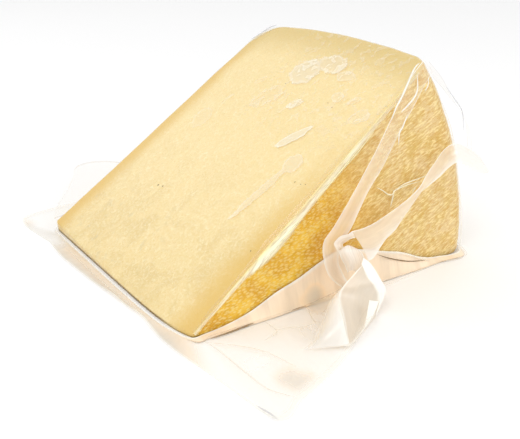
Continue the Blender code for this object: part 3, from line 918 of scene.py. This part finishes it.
# For each side: the look of the part that climbs the wedge, of the crease and of the free edge, and how far
# out the climbing part ends. Then its stations: place along the side, climb, crease, free edge
SKIRT = {
    "near": (((0.88, 0.40), (0.16, 0.26), (0.14, 0.28)), 5.5, (
        (1, 1.0, (13, 1.6), (44, -7, 1.2)),
        (8, 1.2, (12, 2.0), (83, -6, 1.2)),
        (21, 2.4, (11, 1.6), (76, -1, 1.2)),
        (37, 6, (10, 1.6), (70, -1, 1.2)),
        (54, 13, (10, 1.8), (63, -2, 2.0)),
        (70, 18, (11, 2.5), (55, -3, 3.0)),
        (87, 25, (14, 8.0), (45, 1, 9.0)),
        (102, 28, (13, 12.0), (24, 7, 12.0)),
        (130, 20, (9, 4.0), (12, 3, 1.6)),
        (152, 13, (7, 2.0), (9, 3, 1.2)),
        (165, 7, (6.6, 1.4), (7.5, 3, 1.2)),
        (180, 3, (6.2, 1.2), (7, 3, 1.2)),
        (203, 2, (5.8, 1.2), (6.4, 2, 1.2)),
    )),
    "heel": (((0.12, 0.30), (0.05, 0.30), (0.05, 0.30)), 1.6, (
        (25, 3, (3, 1.2), (6, 0, 1.2)),
        (88, 3, (3, 1.2), (7, 0, 1.2)),
        (135, 3, (3, 1.2), (8, 0, 1.2)),
        (162, 3, (3, 1.2), (9, 6, 1.2)),
    )),
    "far": (((0.02, 0.30), (0.01, 0.30), (0.01, 0.30)), 2.0, (
        (10, 4, (5, 1.2), (14, -8, 1.2)),
        (52, 6, (8, 2.0), (30, -3, 1.2)),
        (110, 12, (8, 3.0), (40, -3, 1.2)),
        (160, 7, (8, 2.0), (43, 0, 1.2)),
        (196, 3, (7, 1.2), (43, 2, 1.2)),
        (220, 3, (5, 1.2), (38, 14, 1.2)),
    )),
    "tip": (((0.54, 0.50), (0.56, 0.58), (0.56, 0.86)), 1.2, (
        (3, 1.0, (4, 1.2), (17, -22, 1.2)),
        (14, 1.0, (5, 1.2), (13, -3, 1.2)),
        (22, 0.9, (5.5, 1.2), (12, 0, 1.2)),
        (45, 0.9, (5.5, 1.2), (13, 0, 1.2)),
        (68, 0.9, (5, 1.2), (12, 0, 1.2)),
        (92, 0.9, (4, 1.2), (10.4, 0, 1.2)),
        (115, 0.9, (3, 1.2), (8, 0, 1.2)),
        (134, 0.9, (3, 1.2), (6.5, 0, 1.2)),
        (148, 0.9, (3, 1.2), (5.5, 0, 1.2)),
        (163, 0.9, (3, 1.2), (8.3, 1, 1.2)),
        (177, 0.9, (4, 1.2), (11, 8, 1.2)),
    )),
}
# The first of the skirt's stations in the mesh, which the wedge hides from the front
FIRST_STATION = 17

# Patches that show more or less: middle, radius, haze and tone. Tone towards grey is painted shade: in the
# hollow at the wedge's foot behind the tail at (78, -11), and in a soft fold of the skirt at (25, -62)
FILM_PATCHES = (
    ((25, -62, 2), 13, 0.20, 0.78),
    ((17, -40, 2), 13, 0.14, 0.00),
    ((78, -11, 5), 13, 0.34, 0.85),
    ((62, -34, 3), 20, 0.14, 0.20),
    ((-26, 178, 2), 34, -0.40, 0.90),
)

# Folds, each a strip between its guides, and the look of each guide
CORNER_RIBBON = (
    ((152, -3, 135), (140, -7, 128), (131, -8, 115), (122, -9, 101), (112, -9, 84), (98, -10, 65),
     (87, -10, 50), (79, -11, 42), (79, -12, 31), (83, -13, 20), (93, -14, 10)),
    ((156, -4, 131), (145, -7.5, 123.5), (136, -9, 111.5), (127, -9.5, 98), (117, -10, 81.5),
     (103.5, -11.5, 65), (93, -11.5, 48.5), (84.5, -13, 40.5), (83.5, -14, 30), (87.5, -14.5, 20),
     (95, -15.5, 10.5)),
    ((160, -3, 127), (150, -6, 119), (141, -8, 108), (132, -8, 95), (122, -9, 79), (109, -11, 65),
     (99, -11, 47), (90, -13, 39), (88, -14, 29), (92, -14, 20), (97, -15, 11)),
)
CORNER_LOOKS = ((0.66, 0.30), (0.58, 0.55), (0.74, 0.20))
# How much the corner ribbon shows at each station
CORNER_FADE = (0.16, 0.20, 0.24, 0.34, 0.62, 0.88, 1.0, 1.0, 1.0, 1.0, 0.95)
HEEL_RIBBON = (
    ((95, -16, 47), (103, -16, 47), (113, -15, 48), (121, -13, 49), (129, -12, 51), (136, -12, 54),
     (142, -12, 57), (149, -12, 62), (156, -10, 68), (163, -9, 74), (170, -9, 81), (180, -9, 83),
     (191, -9, 78), (204, -8, 70), (213, -6, 61)),
    ((101, -19, 36.5), (107.5, -18.5, 37), (115.5, -17, 39), (122.5, -15, 41.5), (130.5, -14, 44.5),
     (136.5, -14, 49), (142.5, -14, 53.5), (149, -14, 59.5), (156.5, -13, 64.5), (164, -12.5, 69.5),
     (170.5, -13, 75.5), (179, -13, 77.5), (189.5, -12, 72.5), (203, -10.5, 65), (212.5, -9, 59)),
    ((107, -18, 26), (112, -17, 27), (118, -15, 31), (124, -13, 34), (132, -12, 38), (137, -12, 44),
     (143, -12, 50), (149, -12, 57), (157, -12, 61), (165, -12, 65), (171, -13, 70), (178, -13, 72),
     (188, -11, 67), (202, -9, 60), (212, -8, 57)),
)
HEEL_LOOKS = ((0.55, 0.40), (0.60, 0.30), (0.88, 0.05))
HEEL_FADE = (1.0, 1.0, 1.0, 1.0, 1.0, 1.0, 1.0, 1.0, 0.95, 0.90, 0.82, 0.76, 0.68, 0.58, 0.45)
LOOP = (
    ((95, -16, 47), (90, -18, 47), (85, -18, 47), (81, -18, 44), (82, -18, 41), (84, -18, 38)),
    ((97, -17, 43), (93, -17, 43), (90, -17, 42), (88, -17, 41), (88, -18, 39), (88, -18, 38)),
)
ROLL = (
    ((83, -20, 39), (85, -20, 34), (88, -20, 29), (90, -20, 24)),
    ((88, -21, 42), (89, -22.5, 38), (91, -22.5, 32), (91, -22, 26)),
    ((97, -20, 37), (101, -20, 32), (102, -20, 26), (96, -20, 23)),
)
# The tail's flat facets, from its pale left side, a painted highlight, over a shaded one, painted shade,
# to the bright strip at its right
TAIL = (
    (((0.14, 0.0), (0.86, 0.0)), (
        ((71, -29, 16), (63, -33, 8), (52, -40, 3), (43, -43, 2)),
        ((77, -32, 24), (72, -35, 20), (67, -46, 14), (66, -53, 2)),
    )),
    (((0.80, 0.72), (0.82, 0.84)), (
        ((93, -28, 31), (84, -30, 27), (77, -32, 24), (72, -35, 20), (67, -46, 15), (66, -53, 2)),
        ((94, -28, 32), (95, -32, 25), (98, -35, 20), (100, -37, 13), (95, -38, 2), (67, -53, 2)),
    )),
    (((0.96, 0.0), (0.96, 0.0)), (
        ((93, -28, 32), (95, -32, 25), (98, -35, 20), (100, -37, 13), (97, -38, 2)),
        ((95, -27, 35), (99, -29, 31), (106, -30, 20), (109, -32, 12), (104, -33, 2)),
    )),
    (((0.90, 0.0), (0.90, 0.0)), (
        ((86, -44, 19), (84.5, -44.5, 11), (83, -45, 4)),
        ((93, -44, 16), (89, -45, 10), (83.4, -45, 3.5)),
    )),
)
BACK_FLAP = (
    ((-12, 199, 2), (4, 202, 3), (18, 204, 4), (42, 204, 4), (82, 203, 4)),
    ((-12, 200, 5), (2, 207, 20), (16, 210, 24), (42, 211, 22), (80, 208, 12)),
    ((-11, 200, 7), (6, 207, 24), (15, 213, 35.5), (44, 214, 33), (84, 211, 16)),
)
BACK_LOOKS = ((0.0, 0.8), (0.0, 0.8), (0.01, 0.8))
HEEL_GUSSET = (
    ((160, -2, 125), (168, -2, 118), (177, -2, 110), (189, -2, 99), (194, -2, 91), (190, -9, 75)),
    ((155, -4, 134), (169, -3, 122), (183, 1, 108), (193, 1, 97), (197, -4, 86), (194, -9, 76)),
)
GUSSET_LOOKS = ((0.14, 0.7), (0.10, 0.5))


def tones_of(film):
    return tuple(film.white), tuple(film.beige), tuple(film.grey)


def foot(s, side, place):
    """A point of the foot of the wedge, the way out from it and the way on along that side, in metres."""
    if side == "near":
        return np.array([place, 0.0]), np.array([0.0, -1.0]), np.array([1.0, 0.0])
    if side == "heel":
        radius = heel_radius(s, place / s.height_at_heel)
        return np.array([radius, place]), np.array([1.0, 0.0]), np.array([0.0, 1.0])
    if side == "far":
        u = 1 - place / s.wheel_radius
        return np.array([s.wheel_radius * u, wheel_height(s, u)]), np.array([0.0, 1.0]), np.array([-1.0, 0.0])
    along = s.height_at_tip - place
    return np.array([-tip_lean(s, along), along]), np.array([-1.0, 0.0]), np.array([0.0, -1.0])


def skirt_guides(s):
    """The skirt's upper edge, both sides of its foot, its crease and its free edge, with their looks."""
    guides = [[], [], [], [], []]
    for side, ((climbing, creased, free), foot_reach, stations) in SKIRT.items():
        for place, climb, (crease_reach, crease_height), (reach, drift, height) in stations:
            at, out, on = foot(s, side, place * MM)
            ends = (
                (1.0, 0, climb), (min(foot_reach, crease_reach - 1.2), 0, 0.8), (foot_reach + 0.5, 0, 0.8),
                (max(crease_reach, foot_reach + 1.0), 0, crease_height), (reach, drift, height),
            )
            looks = (climbing, climbing, creased, creased, free)
            for guide, (away, along, up), look in zip(guides, ends, looks):
                guide.append((*(at / MM + out * away + on * along), up, *look))
    return [guide[FIRST_STATION:] + guide[:FIRST_STATION] for guide in guides]


def dressed(guides, looks, fade=None):
    """Guide curves with the haze and tone of each guide, the haze fading along it where fade says."""
    return [
        [(*point, look[0] * (fade[i] if fade else 1.0), look[1]) for i, point in enumerate(guide)]
        for guide, look in zip(guides, looks)
    ]


def loose_film(
    name, guides, rows, columns, material, film, wrinkle=0.0, pleats=(0.0016, 0.035), closed=False
):
    """A sheet of film lofted over guide curves, with pleats of the given size across and along it."""
    curves = np.array([curve_through(guide, columns, closed) for guide in guides])
    sheet = np.array([curve_through(curves[:, c], rows) for c in range(columns)]).swapaxes(0, 1)
    grid = sheet[:, :, :3] * MM
    down = np.linalg.norm(np.diff(grid, axis=0), axis=2)
    from_first = np.vstack([np.zeros(columns), np.cumsum(down, axis=0)])
    from_last = from_first[-1] - from_first
    on = np.concatenate([[0.0], np.cumsum(np.linalg.norm(np.diff(grid[rows // 2], axis=0), axis=1))])
    pleat_x = (np.broadcast_to(on, (rows, columns)) / pleats[1]).ravel()
    pleat_y = (from_first / pleats[0]).ravel()
    points, faces = grid.reshape(-1, 3), sheet_faces(rows, columns, closed)
    pleated = np.stack([pleat_x, pleat_y, 0 * pleat_x], -1)
    height = 0.7 * field(pleated, 2.0, 3.0) + 0.6 * field(points, 0.018, 2.0)
    held = smoothstep(0.0, 0.006, from_first).ravel() if closed else 1.0
    points = points + normals_of(points, faces) * (wrinkle * height * held)[:, None]
    points[:, 2] = np.maximum(points[:, 2], film.floor_gap)
    haze, tone = sheet[:, :, 3].ravel(), sheet[:, :, 4].ravel()
    for middle, radius, more, towards in FILM_PATCHES if closed else ():
        away = np.linalg.norm(points - np.array(middle) * MM, axis=1) / (radius * MM)
        weight = smoothstep(1.0, 0.35, away * (1 + 0.25 * field(points, 0.010, 5.0)))
        haze = haze + more * weight
        tone = tone + (towards - tone) * weight
    edge = smoothstep(0.0011, 0.0003, np.minimum(from_first, from_last).ravel())
    return new_piece(
        name, points, faces, material, "clear_film", haze=np.clip(haze, 0.01, 1.0), edge=edge,
        tone=np.clip(tone, 0.0, 1.0), pleat_x=pleat_x, pleat_y=pleat_y,
    )


class CHEESE_OT_skirt(bpy.types.Operator):
    """Makes the skirt of loose film round the foot of the wedge"""

    bl_idname = "cheese.skirt"
    bl_label = "Skirt of film"

    def execute(self, context):
        s, film = context.scene.wedge_settings, context.scene.film_settings
        tones = (tuple(film.white), srgb(255, 228, 192), tuple(film.grey))
        finish = film_finish("film_skirt", tones, tuple(film.bright), 0.12, 0.10, 0.5, (0.92, 1.08), 0.015)
        guides = skirt_guides(s)
        piece = loose_film("film_skirt", guides, 33, 620, finish, film, film.wrinkle, (0.045, 0.0080), True)
        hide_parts("clear_bag")
        return {"FINISHED"}


# The gleam along the near cut edge, bunched film that is partly milky white and partly a painted highlight
# where the film bends over the edge: distance from the near corner, width below the edge, bulge, haze
GLEAM = (
    (1, 1.2, 0.5, 0.60), (20, 1.4, 0.6, 0.64), (40, 2.2, 0.7, 0.70), (49, 4.4, 1.2, 0.88),
    (60, 6.6, 1.9, 0.96), (72, 7.0, 2.1, 0.96), (82, 6.0, 1.8, 0.88), (93, 4.8, 1.5, 0.70),
    (108, 4.6, 1.4, 0.74), (124, 4.2, 1.3, 0.70), (142, 3.4, 1.1, 0.60), (160, 2.6, 0.9, 0.50),
    (178, 2.0, 0.8, 0.40), (198, 1.4, 0.6, 0.26),
)


def gleam_guides(s):
    """Curves along the near cut edge: two on the face, one on the edge, one on the bulge, one on the rind."""
    guides = [[], [], [], [], []]
    down = np.array([math.sin(s.angle), 0.0, -math.cos(s.angle)])
    for along, width, bulge, haze in GLEAM:
        at = wedge_points(s, along * MM / s.wheel_radius, 0.0, 0.0, 1.0) / MM
        rows = (
            (at + (0.0, 1.4 + width, 0.0) - down * 0.7, 0.0, 1.0),
            (at + (0.0, 1.0, 0.0) - down * 0.7, 0.34 * haze, 0.9),
            (at + (0.0, -0.4 * bulge, 0.0) - down * 0.4, haze, 0.35),
            (at + (0.0, -bulge, 0.0) + down * width * 0.5, haze, 0.10),
            (at + (0.0, -0.8, 0.0) + down * width, 0.04, 0.6),
        )
        for guide, (point, milk, tone) in zip(guides, rows):
            guide.append((*point, milk, tone))
    return guides


class CHEESE_OT_folds(bpy.types.Operator):
    """Makes the gleam along the near cut edge, the ribbons, their knot, the tail, the flap and the gusset"""

    bl_idname = "cheese.folds"
    bl_label = "Ribbons and folds"

    def execute(self, context):
        s, film = context.scene.wedge_settings, context.scene.film_settings
        tones, bright = tones_of(film), tuple(film.bright)
        ribbon = film_finish("film_ribbon", tones, bright, 0.12, 0.12, 0.85, (0.88, 1.10))
        pale = film_finish("film_tail", tones, bright, 0.12, 0.10, 0.55, (0.94, 1.05))
        faint = film_finish("film_faint", tones, tuple(film.grey), 0.10, 0.20, 0.30, mirror=0.015)
        # The gleam's tones, pale to golden: partly a painted highlight on the film over the near cut edge,
        # partly the cheese's gold seen through it
        golden = (srgb(255, 253, 235), srgb(255, 240, 170), srgb(247, 215, 120))
        gleam = film_finish("film_gleam", golden, tuple(film.gleam), 0.20, 0.10, 0.0, (0.55, 1.20))
        loose_film("edge_gleam", gleam_guides(s), 24, 240, gleam, film, 0.0002, (0.0020, 0.016))
        corner = dressed(CORNER_RIBBON, CORNER_LOOKS, CORNER_FADE)
        loose_film("corner_ribbon", corner, 14, 150, ribbon, film, 0.0004, (0.0060, 0.045))
        heel = dressed(HEEL_RIBBON, HEEL_LOOKS, HEEL_FADE)
        loose_film("heel_ribbon", heel, 14, 170, ribbon, film, 0.0004, (0.0060, 0.040))
        loose_film("knot_loop", dressed(LOOP, ((0.78, 0.10), (0.62, 0.40))), 8, 40, ribbon, film)
        roll = dressed(ROLL, ((0.60, 0.40), (0.78, 0.16), (0.55, 0.45)))
        loose_film("knot_roll", roll, 14, 40, ribbon, film)
        for number, (looks, guides) in enumerate(TAIL, 1):
            facet = dressed(guides, looks)
            loose_film(f"tail_facet_{number}", facet, 14, 44, pale, film, 0.0002, (0.010, 0.030))
        loose_film("back_flap", dressed(BACK_FLAP, BACK_LOOKS), 18, 80, faint, film, 0.0004, (0.006, 0.02))
        loose_film("heel_gusset", dressed(HEEL_GUSSET, GUSSET_LOOKS), 8, 60, faint, film, 0.0003)
        return {"FINISHED"}


class CHEESE_OT_stage(bpy.types.Operator):
    """Makes the floor, the lights and the camera"""

    bl_idname = "cheese.stage"
    bl_label = "Stage"

    def execute(self, context):
        s = context.scene.stage_settings
        half = 6.0
        mesh = bpy.data.meshes.new("floor")
        corners = [(-half, -half, 0), (half, -half, 0), (half, half, 0), (-half, half, 0)]
        mesh.from_pydata(corners, [], [(0, 1, 2, 3)])
        mesh.materials.append(plain_finish("floor_finish", tuple(s.floor), 0.6))
        floor = bpy.data.objects.new("floor", mesh)
        context.scene.collection.objects.link(floor)

        world = bpy.data.worlds.new("sky")
        world.use_nodes = True
        world.node_tree.nodes["Background"].inputs["Color"].default_value = (1, 1, 1, 1)
        world.node_tree.nodes["Background"].inputs["Strength"].default_value = s.sky
        context.scene.world = world
        self.light(context, "key", s.key, 0.6, (-0.9, -0.6, 1.3))
        self.light(context, "fill", s.fill, 0.5, (0.9, -1.1, 0.8))
        self.light(context, "glint", s.glint, 0.35, (-0.55, 1.35, 1.0))

        lens = bpy.data.cameras.new("camera")
        lens.lens = s.lens
        lens.sensor_width = 36.0
        lens.clip_start = 0.01
        camera = bpy.data.objects.new("camera", lens)
        context.scene.collection.objects.link(camera)
        a, e = s.azimuth, s.elevation
        back = Vector((math.sin(a) * math.cos(e), -math.cos(a) * math.cos(e), math.sin(e)))
        camera.location = CAMERA_PLACE
        camera.rotation_euler = (-back).to_track_quat("-Z", "Y").to_euler()
        context.scene.camera = camera
        context.scene.view_settings.view_transform = "Standard"
        return {"FINISHED"}

    @staticmethod
    def light(context, name, power, size, place):
        lamp = bpy.data.lights.new(name, "AREA")
        lamp.energy = power
        lamp.size = size
        made = bpy.data.objects.new(name, lamp)
        made.location = place
        made.rotation_euler = (-Vector(place)).to_track_quat("-Z", "Y").to_euler()
        context.scene.collection.objects.link(made)


STEPS = (
    CHEESE_OT_wedge, CHEESE_OT_crystals, CHEESE_OT_skin, CHEESE_OT_creases, CHEESE_OT_skirt,
    CHEESE_OT_folds, CHEESE_OT_stage,
)


class CHEESE_PT_panel(bpy.types.Panel):
    """Lists the steps that build the wedge and the settings that they use."""

    bl_idname = "CHEESE_PT_panel"
    bl_label = "Cheese wedge"
    bl_space_type = "VIEW_3D"
    bl_region_type = "UI"
    bl_category = "Cheese"

    def draw(self, context):
        for step in STEPS:
            self.layout.operator(step.bl_idname)
        for name in ("wedge_settings", "film_settings", "stage_settings"):
            group = getattr(context.scene, name)
            box = self.layout.box()
            for setting in group.bl_rna.properties:
                if not setting.is_readonly and setting.identifier != "name":
                    box.prop(group, setting.identifier)


GROUPS = (WedgeSettings, FilmSettings, StageSettings)


def register():
    for kind in (*GROUPS, *STEPS, CHEESE_PT_panel):
        bpy.utils.register_class(kind)
    bpy.types.Scene.wedge_settings = PointerProperty(type=WedgeSettings)
    bpy.types.Scene.film_settings = PointerProperty(type=FilmSettings)
    bpy.types.Scene.stage_settings = PointerProperty(type=StageSettings)


def unregister():
    del bpy.types.Scene.stage_settings
    del bpy.types.Scene.film_settings
    del bpy.types.Scene.wedge_settings
    for kind in (CHEESE_PT_panel, *reversed(STEPS), *reversed(GROUPS)):
        bpy.utils.unregister_class(kind)


def main():
    register()
    for step in STEPS:
        group, name = step.bl_idname.split(".")
        getattr(getattr(bpy.ops, group), name)()


if __name__ == "__main__":
    main()
